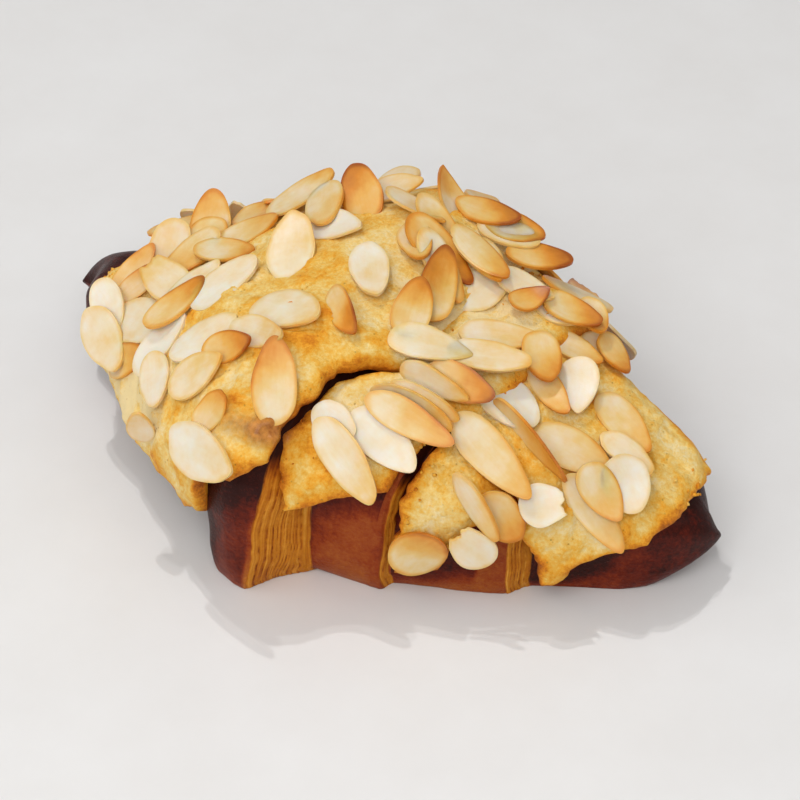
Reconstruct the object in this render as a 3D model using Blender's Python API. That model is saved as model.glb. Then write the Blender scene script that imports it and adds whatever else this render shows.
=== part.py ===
"""Almond croissant: a straight laminated croissant baked under a cracked sheet of almond cream with flaked almonds.

Two solids: the dough, and the almond cream with its flakes fused on. +X runs from the left horn to the right one,
-Y is the front, +Z is up. A place on the roll is given by u, millimetres along it, and by an angle round it, which
is 0 at the front, 90 degrees on top and 180 at the back. Shapes are worked out in millimetres and become metres
where a mesh is made.
"""
import math
import random

import bmesh
import bpy
import numpy as np
from mathutils import Matrix, Vector, noise

MM = 0.001

# Dough: the envelope that the wraps sit on.
X_LEFT = -84.0              # left horn's end
X_RIGHT = 75.0              # right horn's end
X_MID = -6.5                # middle of the outermost wrap, the widest place
FRONT_HALF_WIDTH = 55.0
BACK_HALF_WIDTH = 34.0
CREST_HEIGHT = 43.0
LEFT_HORN_HEIGHT = 18.0
RIGHT_HORN_HEIGHT = 16.0
HORN_WIDTH_SHARE = 0.18     # a horn's width against the middle's
HORN_LIFT = 5.0             # height of a horn's underside over the table
LIFT_START = 0.8           # share of the way to a horn's end where its underside starts to lift
BLUNT_POWER = 18            # how suddenly a horn ends
LEFT_SLANT = 6.0            # both ends are cut on a slant: the front reaches farther right
RIGHT_SLANT = 7.0
SLANT_START = 0.85
TUCK_START = 6.0            # the left flank, from here on left of the middle, draws in under the cream
TUCK_SKIN = 2.0
TUCK_DEPTH = 6.0            # how far it draws in near the table
FRONT_TAPER = 1.1           # powers that bend the outline between the middle and the horns
BACK_TAPER = 0.85
LEFT_FALL = 0.95            # powers that bend the crest line down to each horn
RIGHT_FALL = 1.5
MID_LEVEL_SHARE = 0.36      # height of the widest level against the crest's
UPPER_ROUND = 0.68          # below 1 the section is fuller than an ellipse
LOWER_ROUND = 0.5
UNDERCUT = 1.6              # how deep the round lower half would reach, cut off flat by the table
SWING = 5.0                 # how far a line round the roll wanders along it, as the wraps spiral
SWING_START = 0.6
SWING_BACK = 1.5
SWING_BLEND = 14.0          # distance over which the two halves' spirals part

# Wraps: cut edges of the rolled triangle, as places along the right half; the left half mirrors them about X_MID.
WRAP_EDGES = (-1.5, 20.5, 41.0)      # where each wrap's skin ends
EDGE_WIDTHS = (9.0, 2.2, 4.2)        # width of the layered cut face beside it
EDGE_DROPS = (6.5, 2.0, 2.6)         # height of the step down
EDGE_LAYERS = (4, 1, 2)              # ridges of dough layers on each cut face
LAYER_RELIEF = 0.45
EDGE_ROUND = 0.5                     # reach of the rounding of a step's corners
EDGE_LEAN = 3.5             # how far the widest cut face's outer edge shifts left towards the table
RIDGE_STATIONS = 3                   # rings of points on each ridge
PLAIN_STATIONS = 3                   # rings of points between two cut faces
HORN_STATIONS = (12.0, 8.0, 5.0, 2.5, 0.8)   # distances of the last rings from a horn's end

# Rings of points round the dough: close together above the table, a few underneath.
UPPER_POINTS = 26
UPPER_REACH = math.radians(25.0)
LOWER_ANGLES = (-130.0, -105.0, -75.0, -50.0)

# Almond cream.
CREAM_GAP = 0.8             # clearance that the cream's solid is cut to, over the ridges of the dough's layers
CREAM_THICK = 5.0
CREAM_RIM = 1.6             # thickness at the sheet's edge
RIM_ROUND = 6.0             # how far in from the edge the sheet reaches its full thickness
CREAM_FLOOR = 1.2           # lowest point of the sheet over the table
DROOP_REACH = 16.0          # how far up from its lower edge the sheet stands off the dough
BUMP_HEIGHT = 1.1
BUMP_SIZE = 15.0

# Flaked almonds.
FLAKE_THICK = 1.0
FLAKE_SIDES = 8
FLAKE_TAPER = 0.2           # how much one end is narrower than the other
PITCH_RAISE = 0.22          # how far a leaning flake's middle rises, against its length or width
ROLL_RAISE = 0.28
FLAKE_LENGTHS = (13.0, 18.0)
FLAKE_WIDTH_SHARE = 0.54
CHIPPED_SHARE = 0.22        # what a broken flake lacks of its length
LOOSE_FLAKES = 62
LOOSE_TRIES = 4000
LOOSE_SPACING = 6.8
LOOSE_FRONT = -32.0         # before the crest, loose flakes lie only left of here
LOOSE_BACK = 97.0           # degrees at which the crest is passed
LOOSE_LOW = 30.0            # degrees under which there are none
SEED = 13

# The flakes that lie on the front and the top: u, degrees round, heading in the surface from +X towards the crest,
# pitch of the long axis, roll about it, length, width. Angles in degrees, sizes in millimetres.
PLACED_FLAKES = (
    (-43, 97, 105, 40, 12, 16, 9), (-41, 90, -60, 20, 0, 12, 9), (-33, 107, 0, 12, 30, 14, 8),
    (-30, 91, 25, 12, 20, 14, 8), (-22, 108, 35, 22, 25, 17, 10), (-12, 105, 130, 40, -15, 15, 9),
    (-9, 114, 5, 12, 40, 13, 8), (-5, 116, 150, 30, 10, 13, 8), (0, 121, 15, 14, 45, 14, 8),
    (4, 121, 10, 8, 20, 14, 9), (4, 124, 20, 10, 55, 13, 9), (10, 120, 30, 20, 40, 14, 8),
    (-15, 86, 110, 22, 8, 18, 10), (-12, 91, -10, 4, 15, 15, 9), (-7, 70, -7, -4, 0, 17, 12),
    (-4, 85, -52, 4, 10, 17, 8), (-3, 73, -40, 6, 48, 14, 6), (-2, 91, -48, 8, 15, 13, 7),
    (4, 88, 112, 12, 15, 19, 8), (4, 81, 108, 10, 0, 15, 8), (-8, 61, -12, 4, 20, 17, 7),
    (-12, 54, 15, 8, 30, 13, 7), (-19, 54, 40, 4, 5, 16, 10), (-23, 73, 64, 8, 6, 17, 10),
    (-43, 51, -8, 2, 0, 20, 11), (-34, 72, 70, 8, 10, 15, 8), (-54, 72, 65, 20, 40, 14, 6),
    (-50, 68, 50, 15, 50, 13, 5), (-16, 43, 40, 5, 8, 14, 10), (-27, 34, -45, 6, -15, 15, 7),
    (-8, 36, 60, 10, 30, 10, 6), (-5, 49, 118, 12, 4, 18, 9), (-9, 26, -4, -9, 4, 19, 11),
    (-25, 20, 60, 30, 60, 10, 6), (10, 74, 20, 6, 10, 17, 8), (20, 78, 27, 6, 10, 17, 7),
    (18, 86, 34, 6, 10, 17, 7), (8, 92, 73, 8, 0, 14, 10), (22, 104, 20, 10, 20, 12, 8),
    (14, 101, 5, 5, 20, 13, 7), (17, 96, 60, 20, 0, 9, 6), (0, 93, -14, 8, 30, 19, 9),
    (-6, 102, -18, 4, -30, 17, 7), (-2, 100, -18, 4, -30, 17, 7), (6, 100, -40, 8, 10, 15, 8),
    (2, 90, -25, 8, -30, 18, 7), (28, 71, -12, 3, 0, 14, 11), (32, 81, -30, 8, 50, 14, 6),
    (27, 86, -45, 5, 0, 12, 8), (36, 87, -60, 2, 0, 13, 9), (29, 96, 5, 6, 10, 13, 6),
    (47, 85, -22, 5, 15, 16, 8), (43, 63, 5, 3, 4, 17, 9), (52, 72, -10, 4, 8, 13, 6),
    (55, 57, -40, 6, 0, 12, 10), (52, 48, -30, 3, 4, 13, 8), (53, 36, -34, 4, 0, 19, 7),
    (32, 47, -23, 8, 4, 22, 9), (36, 59, -22, 8, 65, 22, 6), (45, 32, 25, 3, 0, 11, 9),
    (41, 24, -35, 6, 6, 12, 9), (36, 25, -45, 8, 45, 16, 7), (35, 9, 140, -4, 0, 12, 9),
    (27, 2, 45, 6, 0, 13, 11), (14, 42, -21, 6, 4, 17, 9), (5, 44, -14, 3, 6, 10, 7),
    (10, 32, -36, 6, 15, 20, 8), (15, 65, 0, 8, 45, 15, 7), (15, 56, 0, 8, 40, 18, 7),
    (16, 60, 3, 8, 45, 16, 7), (16, 51, -4, 8, 35, 20, 7), (19, 69, 10, 3, 5, 15, 8),
    (5, 99, -22, 8, 30, 18, 7), (27, 113, -40, 6, 10, 10, 6), (24, 106, 10, 5, 5, 13, 7),
    (31, 112, 15, 6, 0, 8, 6), (35, 110, -35, 3, 5, 12, 6),
)


def smooth(t):
    """0 to 1 with level ends."""
    t = np.clip(t, 0.0, 1.0)
    return t * t * (3.0 - 2.0 * t)


def profile(*points):
    """A value that changes evenly between the given places."""
    places, values = zip(*points)
    return lambda x: np.interp(x, places, values)


def reach(x):
    """0 at the middle wrap, 1 at either horn's end."""
    t = np.where(x > X_MID, (x - X_MID) / (X_RIGHT - X_MID), (X_MID - x) / (X_MID - X_LEFT))
    return np.clip(t, 0.0, 1.0)


def wrap_place(u, a):
    """A place on the roll as its twin on the right half, along which the wraps are laid out."""
    lean = EDGE_LEAN * smooth((0.3 - a) / 0.7) * smooth((8.5 - u) / 9.0)
    return np.where(u > X_MID, u + lean, 2.0 * X_MID - u)


def tuck(u, a):
    """How far the left flank draws in under the cream that overhangs it, most of all near the table."""
    flank = smooth((X_MID - TUCK_START - u) / 6.0) * smooth((0.9 - a) / 0.5) * smooth((a + 1.4) / 0.5)
    return flank * (TUCK_SKIN + (TUCK_DEPTH - TUCK_SKIN) * smooth((0.2 - a) / 0.6))


def envelope(u, a):
    """The roll without its wraps, at place u along it and angle a round it."""
    side = np.clip((u - X_MID) / SWING_BLEND, -1.0, 1.0) * (1.0 - reach(u) ** 3)
    x = u + side * (SWING * (1.0 - np.cos(a + SWING_START)) - SWING_BACK)
    x = np.clip(x, X_LEFT, X_RIGHT)
    t = reach(x)
    slant = np.where(x < X_MID, LEFT_SLANT, RIGHT_SLANT) / 2 * smooth((t - SLANT_START) / (1.0 - SLANT_START))
    blunt = np.sqrt(np.clip(1.0 - t ** BLUNT_POWER, 0.0, 1.0))
    c, s = np.cos(a), np.sin(a)
    front = c > 0
    taper = HORN_WIDTH_SHARE + (1.0 - HORN_WIDTH_SHARE) * (1.0 - t ** np.where(front, FRONT_TAPER, BACK_TAPER))
    half_width = np.where(front, FRONT_HALF_WIDTH, BACK_HALF_WIDTH) * taper * blunt
    fall = np.where(x < X_MID, LEFT_FALL, RIGHT_FALL)
    horn = np.where(x < X_MID, LEFT_HORN_HEIGHT, RIGHT_HORN_HEIGHT)
    height = horn + (CREST_HEIGHT - horn) * (1.0 - t ** fall)
    low = HORN_LIFT * smooth((t - LIFT_START) / (1.0 - LIFT_START))
    level = low + (height - low) * MID_LEVEL_SHARE
    power = np.where(s > 0, UPPER_ROUND, LOWER_ROUND)
    y = -half_width * np.sign(c) * np.abs(c) ** power
    x = x - slant * (np.sign(x - X_MID) - np.cos(a))
    depth = np.where(s > 0, height - level, (low - level) * UNDERCUT)
    z = level + depth * np.abs(s) ** power * blunt
    return np.stack([x, y, z], axis=-1)


def outward(u, a):
    """Unit normal of the envelope."""
    du, da = 0.2, 0.01
    u0, u1 = np.maximum(u - du, X_LEFT + 0.5), np.minimum(u + du, X_RIGHT - 0.5)
    along = envelope(u1, a) - envelope(u0, a)
    round_it = envelope(u, a + da) - envelope(u, a - da)
    n = np.cross(along, round_it)
    return n / np.maximum(np.linalg.norm(n, axis=-1, keepdims=True), 1e-9)


def wrap_offset(u, a, ridges=True):
    """Height of the dough over the envelope: each wrap swells towards its cut edge, then steps down in layers."""
    places, heights = [X_MID], [EDGE_DROPS[0] / 2 - EDGE_ROUND]
    for edge, width, drop in zip(WRAP_EDGES, EDGE_WIDTHS, EDGE_DROPS):
        places += [edge, edge + width]
        heights += [drop / 2, -drop / 2]
    places.append(X_RIGHT)
    heights.append(0.0)
    m = wrap_place(u, a)
    offset = sum(np.interp(m + d, places, heights) for d in (-EDGE_ROUND, 0.0, EDGE_ROUND)) / 3.0
    for edge, width, layers in zip(WRAP_EDGES, EDGE_WIDTHS, EDGE_LAYERS):
        t = (m - edge) / width
        inside = ridges & (t > 0) & (t < 1)
        offset = offset + np.where(inside, LAYER_RELIEF * np.sin(2 * math.pi * layers * t), 0.0)
    return (offset - tuck(u, a)) * (1.0 - reach(u) ** 8)


def dough_surface(u, a, extra=0.0, ridges=True):
    """Skin of the dough, in millimetres, with its flat underside on the table; extra swells it."""
    p = envelope(u, a) + outward(u, a) * (wrap_offset(u, a, ridges) + extra)[..., None]
    p[..., 2] = np.maximum(p[..., 2], -extra)
    return p


def half_stations(ridged):
    """Places along the right half; with ridges they are close together on the layered cut faces."""
    stations = list(np.linspace(X_MID, WRAP_EDGES[0], 3))
    for k, (edge, width, layers) in enumerate(zip(WRAP_EDGES, EDGE_WIDTHS, EDGE_LAYERS)):
        count = RIDGE_STATIONS * layers + 1 if ridged else 2
        stations += list(np.linspace(edge, edge + width, count))
        end = WRAP_EDGES[k + 1] if k + 1 < len(WRAP_EDGES) else X_RIGHT - HORN_STATIONS[0]
        stations += list(np.linspace(edge + width, end, PLAIN_STATIONS + 1)[1:-1])
    return stations


def dough_stations(ridged):
    """Places along the whole roll; the left half has plain steps, as the cream hides it."""
    right = half_stations(ridged) + [X_RIGHT - d for d in HORN_STATIONS]
    left = [2.0 * X_MID - u for u in half_stations(False) if u > X_MID]
    left = [u for u in left if u > X_LEFT + HORN_STATIONS[0] + 1.0] + [X_LEFT + d for d in HORN_STATIONS]
    return np.array(sorted(set(round(float(u), 4) for u in right + left)))


def ring_angles():
    """Angles of the points round the dough."""
    upper = np.linspace(-UPPER_REACH, math.pi + UPPER_REACH, UPPER_POINTS)
    return np.concatenate([np.radians(LOWER_ANGLES), upper])


def make_object(name, points, faces):
    """A mesh object of triangles whose faces point out."""
    mesh = bpy.data.meshes.new(name)
    bm = bmesh.new()
    vertices = [bm.verts.new(p) for p in points]
    for face in faces:
        bm.faces.new([vertices[i] for i in face])
    bmesh.ops.triangulate(bm, faces=bm.faces)
    bmesh.ops.recalc_face_normals(bm, faces=bm.faces)
    if bm.calc_volume(signed=True) < 0:
        bmesh.ops.reverse_faces(bm, faces=bm.faces)
    bm.to_mesh(mesh)
    bm.free()
    obj = bpy.data.objects.new(name, mesh)
    bpy.context.scene.collection.objects.link(obj)
    return obj


def tube_mesh(name, rings, left_end, right_end):
    """A closed skin from rings of points, with one point closing each end."""
    count, around = rings.shape[:2]
    points = [Vector(p) * MM for p in rings.reshape(-1, 3)]
    points += [Vector(left_end) * MM, Vector(right_end) * MM]
    faces = []
    for i in range(count - 1):
        for j in range(around):
            k = (j + 1) % around
            faces.append((i * around + j, i * around + k, (i + 1) * around + k, (i + 1) * around + j))
    first, last = len(points) - 2, len(points) - 1
    for j in range(around):
        k = (j + 1) % around
        faces.append((first, k, j))
        faces.append((last, (count - 1) * around + j, (count - 1) * around + k))
    return make_object(name, points, faces)


def build_dough(name, extra=0.0, ridged=True):
    """The croissant itself; a swollen one without ridges cuts the cream clear of it."""
    u, a = np.meshgrid(dough_stations(ridged), ring_angles(), indexing="ij")
    rings = dough_surface(u, a, extra, ridged)
    left, right = rings[0].mean(axis=0), rings[-1].mean(axis=0)
    left[0], right[0] = X_LEFT - extra, X_RIGHT + extra
    return tube_mesh(name, rings, left, right)


class Lobe:
    """One sheet of almond cream.

    left and right give its side edges' u by the degrees round the roll, front and back give where its lower edges
    run, in degrees, by u. level is the height of its top over the envelope, flare how far its lower edge stands off
    by u. cells counts its points across and up.
    """

    def __init__(self, left, right, front, back, level, flare, cells):
        self.left, self.right = left, right
        self.front, self.back = front, back
        self.level, self.flare = level, flare
        self.cells = cells

    def grid(self):
        """Places u, angles a, and the shares p and q across and up the sheet."""
        shares = [np.linspace(0, 1, n) for n in self.cells]
        p, q = np.meshgrid(*shares, indexing="ij")
        low = float(self.front(self.left(0.0)))
        middle = self.left(low) + (self.right(low) - self.left(low)) * p[:, :1]
        degrees = self.front(middle) + (self.back(middle) - self.front(middle)) * q
        left, right = self.left(degrees), self.right(degrees)
        return left + (right - left) * p, np.radians(degrees), p, q

    def skins(self):
        """Outer and inner points of the sheet, in millimetres."""
        u, a, p, q = self.grid()
        base, normal = envelope(u, a), outward(u, a)
        across = np.linalg.norm(np.diff(base, axis=0), axis=-1).sum(axis=0)[None, :]
        up = np.linalg.norm(np.diff(base, axis=1), axis=-1).sum(axis=1)[:, None]
        inset = np.minimum(np.minimum(p, 1 - p) * across, np.minimum(q, 1 - q) * up)
        rise = np.sqrt(1.0 - (1.0 - np.clip(inset / RIM_ROUND, 0, 1)) ** 2)
        thick = CREAM_RIM + (CREAM_THICK - CREAM_RIM) * rise
        droop = np.clip(1.0 - q * up / DROOP_REACH, 0, 1) ** 2 * self.flare(u)
        bump = np.array([BUMP_HEIGHT * noise.noise(Vector(x) / BUMP_SIZE) for x in base.reshape(-1, 3)])
        middle = self.level(u, np.degrees(a)) + droop - CREAM_THICK / 2 + bump.reshape(u.shape)
        outer = base + normal * (middle + thick / 2)[..., None]
        inner = base + normal * (middle - thick / 2)[..., None]
        for side in (outer, inner):
            side[..., 2] = np.maximum(side[..., 2], CREAM_FLOOR)
        outer[..., 2] = np.maximum(outer[..., 2], inner[..., 2] + CREAM_RIM / 2)
        return outer, inner

    def holds(self, u, degrees):
        """Whether a place lies on this sheet."""
        across = self.left(degrees) <= u <= self.right(degrees)
        return bool(across and self.front(u) <= degrees <= self.back(u))


def left_level(u, degrees):
    """The sheet stands highest on the middle wrap and thins towards the left horn."""
    hump = smooth((u + 40) / 20) * smooth((14 - u) / 16) * smooth((degrees + 5) / 30)
    return 3.0 + 1.5 * smooth((u + 55) / 20) + 4.0 * hump


def second_level(u, degrees):
    """Low at the front, where the second wrap lies under the middle one's edge, joining it near the crest."""
    return 3.5 + 3.0 * smooth((degrees - 50) / 30)


def level_sheet(height):
    """A sheet whose top keeps one height over the envelope."""
    return lambda u, degrees: height + 0.0 * u


BACK_EDGE = profile((-66, 118), (-50, 150), (-20, 163), (26, 158), (40, 126), (50, 114), (68, 105))
LOBES = (
    Lobe(profile((0, -54), (15, -59), (30, -63), (60, -67), (75, -66), (90, -62), (180, -58)),
         profile((40, -1), (47, 0), (58, 1), (63, 3), (67, 7), (75, 13)),
         profile((-66, 24), (-60, 14), (-50, 6), (-40, 2), (-20, 0), (-12, 2), (-9, 15), (-6, 21), (2, 31)),
         BACK_EDGE, left_level, profile((-60, 0), (-42, 1.5)), (17, 17)),
    Lobe(profile((12, 3.2), (25, 1.2), (35, -0.5), (47, 1.2), (58, 2.5), (63, 5), (67, 9)),
         profile((0, 19.5), (27, 19.2), (36, 19.8), (57, 22.3), (62, 27)),
         profile((2, 8), (6, 12), (11, 16), (20, 23)),
         BACK_EDGE, second_level, profile((0, 1.5), (20, 1.5)), (6, 14)),
    Lobe(profile((-10, 23.5), (15, 22.5), (27, 21.8), (36, 22.2), (57, 24.3), (62, 22)),
         profile((-10, 31), (5, 33), (15, 36), (25, 37.5), (33, 37.5), (45, 31), (57, 25.8), (62, 27)),
         profile((20, -5), (30, -3), (34, 4)),
         profile((20, 63), (40, 63)), level_sheet(4.2), profile((20, 0.5), (40, 0.5)), (6, 9)),
    Lobe(profile((-10, 46), (0, 45.5), (10, 43), (33, 40), (45, 32), (57, 26.2), (62, 22)),
         profile((0, 62), (30, 64), (50, 67), (80, 68), (100, 66)),
         profile((42, 10), (47, -6), (52, -2), (57, 6), (62, 22), (66, 40)),
         BACK_EDGE, level_sheet(4.5), profile((45, 2), (60, 1.5)), (9, 12)),
)


def sheet_mesh(name, outer, inner):
    """A closed sheet between two grids of points."""
    columns, rows = outer.shape[:2]
    size = columns * rows
    points = [Vector(p) * MM for grid in (outer, inner) for p in grid.reshape(-1, 3)]
    faces = []
    for i in range(columns - 1):
        for j in range(rows - 1):
            a, b, c, d = i * rows + j, (i + 1) * rows + j, (i + 1) * rows + j + 1, i * rows + j + 1
            faces.append((a, b, c, d))
            faces.append((size + d, size + c, size + b, size + a))
    rim = [i * rows for i in range(columns)]
    rim += [(columns - 1) * rows + j for j in range(1, rows)]
    rim += [i * rows + rows - 1 for i in range(columns - 2, -1, -1)]
    rim += [j for j in range(rows - 2, 0, -1)]
    for k, v in enumerate(rim):
        w = rim[(k + 1) % len(rim)]
        faces.append((w, v, size + v, size + w))
    return make_object(name, points, faces)


def top_level(u, degrees):
    """Height of the cream's top over the envelope at a place, or None where there is no cream."""
    levels = [float(lobe.level(u, degrees)) for lobe in LOBES if lobe.holds(u, degrees)]
    return max(levels) if levels else None


def surface_frame(u, degrees):
    """Point of the envelope at a place, and the directions along the roll, up round it and out of it."""
    uu, aa = np.array([float(u)]), np.array([math.radians(degrees)])
    base, out = Vector(envelope(uu, aa)[0]), Vector(outward(uu, aa)[0])
    east = (Vector((1, 0, 0)) - out * out.x).normalized()
    return base, east, out.cross(east), out


def turned(first, second, angle):
    """Two directions at right angles, turned in their plane."""
    c, s = math.cos(angle), math.sin(angle)
    return first * c + second * s, second * c - first * s


def flake_mesh(name, row, chipped=0.0):
    """A slice of almond as a flat plate, narrower at one end, leaning off the cream by its pitch and roll."""
    u, degrees, heading, pitch, roll, length, width = row
    pitch, roll = math.radians(pitch), math.radians(roll)
    base, along, across, out = surface_frame(u, degrees)
    along, across = turned(along, across, math.radians(heading))
    along, normal = turned(along, out, pitch)
    across, normal = turned(across, normal, roll)
    raised = FLAKE_THICK / 2 + length * PITCH_RAISE * abs(math.sin(pitch)) + width * ROLL_RAISE * abs(math.sin(roll))
    centre = base + out * ((top_level(u, degrees) or CREAM_THICK) + raised)
    points = []
    for side in (0.5, -0.5):
        for k in range(FLAKE_SIDES):
            t = 2 * math.pi * (k + 0.5) / FLAKE_SIDES
            x = min(length / 2 * math.cos(t), length * (0.5 - chipped))
            y = width / 2 * math.sin(t) * (1.0 - FLAKE_TAPER * math.cos(t))
            points.append((centre + along * x + across * y + normal * (side * FLAKE_THICK)) * MM)
    n = FLAKE_SIDES
    faces = [tuple(range(n)), tuple(range(2 * n - 1, n - 1, -1))]
    faces += [(k, n + k, n + (k + 1) % n, (k + 1) % n) for k in range(n)]
    return make_object(name, points, faces)


def loose_flakes():
    """The other flakes: spread evenly over the cream by refusing a spot that is too near an earlier one."""
    draw = random.Random(SEED)
    spots = [surface_frame(row[0], row[1])[0] for row in PLACED_FLAKES]
    rows = []
    for _ in range(LOOSE_TRIES):
        u, degrees = draw.uniform(-54.0, 36.0), draw.uniform(14.0, 150.0)
        heading, pitch, roll = draw.uniform(0.0, 360.0), draw.gauss(7.0, 6.0), draw.gauss(0.0, 9.0)
        length = draw.uniform(*FLAKE_LENGTHS)
        spot = surface_frame(u, degrees)[0]
        bare = degrees < LOOSE_BACK and (u > LOOSE_FRONT or degrees < LOOSE_LOW)
        if bare or top_level(u, degrees) is None or min((spot - other).length for other in spots) < LOOSE_SPACING:
            continue
        spots.append(spot)
        rows.append((u, degrees, heading, pitch, roll, length, length * FLAKE_WIDTH_SHARE))
        if len(rows) == LOOSE_FLAKES:
            break
    return rows


def build_flakes():
    """Every flake as a plate of its own, ready to be fused."""
    flakes = [flake_mesh(f"placed_{k}", row) for k, row in enumerate(PLACED_FLAKES)]
    for k, row in enumerate(loose_flakes()):
        flakes.append(flake_mesh(f"loose_{k}", row, CHIPPED_SHARE if k % 4 == 0 else 0.0))
    return flakes


def apply_boolean(target, operation, collection=None, other=None):
    """Runs one Boolean on target and keeps its result as target's mesh."""
    modifier = target.modifiers.new(operation.lower(), "BOOLEAN")
    modifier.operation = operation
    modifier.solver = "EXACT"
    if collection is not None:
        modifier.operand_type = "COLLECTION"
        modifier.collection = collection
    else:
        modifier.object = other
    bpy.context.view_layer.update()
    evaluated = target.evaluated_get(bpy.context.evaluated_depsgraph_get())
    result = bpy.data.meshes.new_from_object(evaluated)
    target.modifiers.clear()
    target.data = result


def shells_of(bm):
    """The separate shells of a mesh, as lists of faces, smallest first."""
    left, shells = set(bm.faces), []
    while left:
        stack, shell = [left.pop()], []
        while stack:
            face = stack.pop()
            shell.append(face)
            for near in {f for edge in face.edges for f in edge.link_faces} & left:
                left.remove(near)
                stack.append(near)
        shells.append(shell)
    return sorted(shells, key=len)


def keep_largest_shell(obj):
    """Drops loose scraps, and the shells of hollows that fusing sealed."""
    merge = 2e-6
    bm = bmesh.new()
    bm.from_mesh(obj.data)
    bmesh.ops.remove_doubles(bm, verts=bm.verts, dist=merge)
    bmesh.ops.dissolve_degenerate(bm, dist=merge, edges=bm.edges)
    bmesh.ops.triangulate(bm, faces=bm.faces)
    for shell in shells_of(bm)[:-1]:
        bmesh.ops.delete(bm, geom=shell, context="FACES")
    bmesh.ops.delete(bm, geom=[v for v in bm.verts if not v.link_faces], context="VERTS")
    bm.to_mesh(obj.data)
    bm.free()


def build_cream():
    """The sheets of almond cream and the flakes on them, fused into one body that clears the dough."""
    sheets = [sheet_mesh(f"lobe_{k}", *lobe.skins()) for k, lobe in enumerate(LOBES)]
    cream = sheets[0]
    cream.name = "almond_topping"
    fused = bpy.data.collections.new("fused")
    bpy.context.scene.collection.children.link(fused)
    for piece in sheets[1:] + build_flakes():
        bpy.context.scene.collection.objects.unlink(piece)
        fused.objects.link(piece)
    apply_boolean(cream, "UNION", collection=fused)
    for piece in list(fused.objects):
        bpy.data.objects.remove(piece)
    bpy.data.collections.remove(fused)
    cutter = build_dough("cutter", CREAM_GAP, ridged=False)
    apply_boolean(cream, "DIFFERENCE", other=cutter)
    bpy.data.objects.remove(cutter)
    keep_largest_shell(cream)
    return cream


def material(name, colour, roughness):
    """A plain food material."""
    made = bpy.data.materials.new(name)
    made.use_nodes = True
    shader = made.node_tree.nodes["Principled BSDF"]
    shader.inputs["Base Color"].default_value = (*colour, 1.0)
    shader.inputs["Roughness"].default_value = roughness
    shader.inputs["Metallic"].default_value = 0.0
    return made


def centre_on_base(objects):
    """Moves the whole so that its origin is the middle of its box, at the table."""
    points = np.array([v.co for o in objects for v in o.data.vertices])
    low, high = points.min(axis=0), points.max(axis=0)
    shift = Vector((-(low[0] + high[0]) / 2, -(low[1] + high[1]) / 2, -low[2]))
    for o in objects:
        o.data.transform(Matrix.Translation(shift))


def main():
    """Builds both solids in an emptied scene."""
    for o in list(bpy.data.objects):
        bpy.data.objects.remove(o)
    dough = build_dough("croissant")
    cream = build_cream()
    dough.data.materials.append(material("dough", (0.23, 0.06, 0.02), 0.3))
    cream.data.materials.clear()
    cream.data.materials.append(material("almond_cream", (0.85, 0.6, 0.28), 0.6))
    centre_on_base([dough, cream])
    for o in (dough, cream):
        o.data.shade_smooth()
        o.data.set_sharp_from_angle(angle=math.radians(35))


main()
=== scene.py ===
"""Looks of the almond croissant: its baked dough, the cracked almond cream on it, almond flakes and crumbs.

A place on the roll is given by u, millimetres along it from the left horn to the right one, and by an angle
round it, 0 at the front, 90 degrees on top and 180 at the back. Shapes are worked out in millimetres in that
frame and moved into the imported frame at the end.
"""
import math
import random

import bpy
import numpy as np
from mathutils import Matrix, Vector, noise


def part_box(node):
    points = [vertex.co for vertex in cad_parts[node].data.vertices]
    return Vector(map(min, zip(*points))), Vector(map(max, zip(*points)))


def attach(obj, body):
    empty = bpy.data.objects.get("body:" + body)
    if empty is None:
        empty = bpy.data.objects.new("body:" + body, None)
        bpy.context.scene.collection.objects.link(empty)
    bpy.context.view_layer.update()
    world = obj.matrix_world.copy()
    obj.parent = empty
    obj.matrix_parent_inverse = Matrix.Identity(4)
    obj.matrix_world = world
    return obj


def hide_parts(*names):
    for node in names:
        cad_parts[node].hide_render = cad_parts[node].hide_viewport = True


MM = 0.001

# Large odd numbers that scatter a cell's place into noise.
HASH_X, HASH_Y, HASH_Z = 73856093, 19349663, 83492791
HASH_SEED, HASH_MIX = 2654435761, 1274126177

# Dough: the envelope that the wraps sit on.
X_LEFT = -84.0
X_RIGHT = 75.0
X_MID = -6.5
FRONT_HALF_WIDTH = 55.0
BACK_HALF_WIDTH = 34.0
CREST_HEIGHT = 43.0
LEFT_HORN_HEIGHT = 18.0
RIGHT_HORN_HEIGHT = 16.0
HORN_WIDTH_SHARE = 0.18
HORN_LIFT = 5.0
LIFT_START = 0.8
BLUNT_POWER = 18
LEFT_SLANT = 6.0            # both ends are cut on a slant: the front reaches farther right
RIGHT_SLANT = 4.0
SLANT_START = 0.85
TUCK_START = 6.0            # the left flank, from here on left of the middle, draws in under the cream
TUCK_SKIN = 2.0
TUCK_DEPTH = 6.0
FRONT_TAPER = 1.1
BACK_TAPER = 0.85
LEFT_FALL = 0.95
RIGHT_FALL = 1.5
MID_LEVEL_SHARE = 0.36
UPPER_ROUND = 0.68
LOWER_ROUND = 0.5
UNDERCUT = 1.6
SWING = 5.0
SWING_START = 0.6
SWING_BACK = 1.5
SWING_BLEND = 14.0

# Wraps: cut edges of the rolled triangle along the right half, mirrored about X_MID on the left one.
WRAP_EDGES = (-1.5, 20.5, 42.0)
EDGE_WIDTHS = (9.0, 1.7, 4.2)
EDGE_DROPS = (6.5, 2.0, 2.6)
EDGE_ROUND = 0.5
EDGE_LEAN = 3.5             # how far the widest cut face shifts left towards the table
LAYER_WIDTHS = (            # dough layers across each cut face, outermost first
    (1.5, 1.25, 1.1, 0.7, 0.5, 0.45, 0.4, 0.4, 0.4, 0.4, 0.5, 1.5),
    (0.9, 1.3),
    (0.9, 0.55, 0.5, 0.5, 0.75, 1.0),
)

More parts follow.
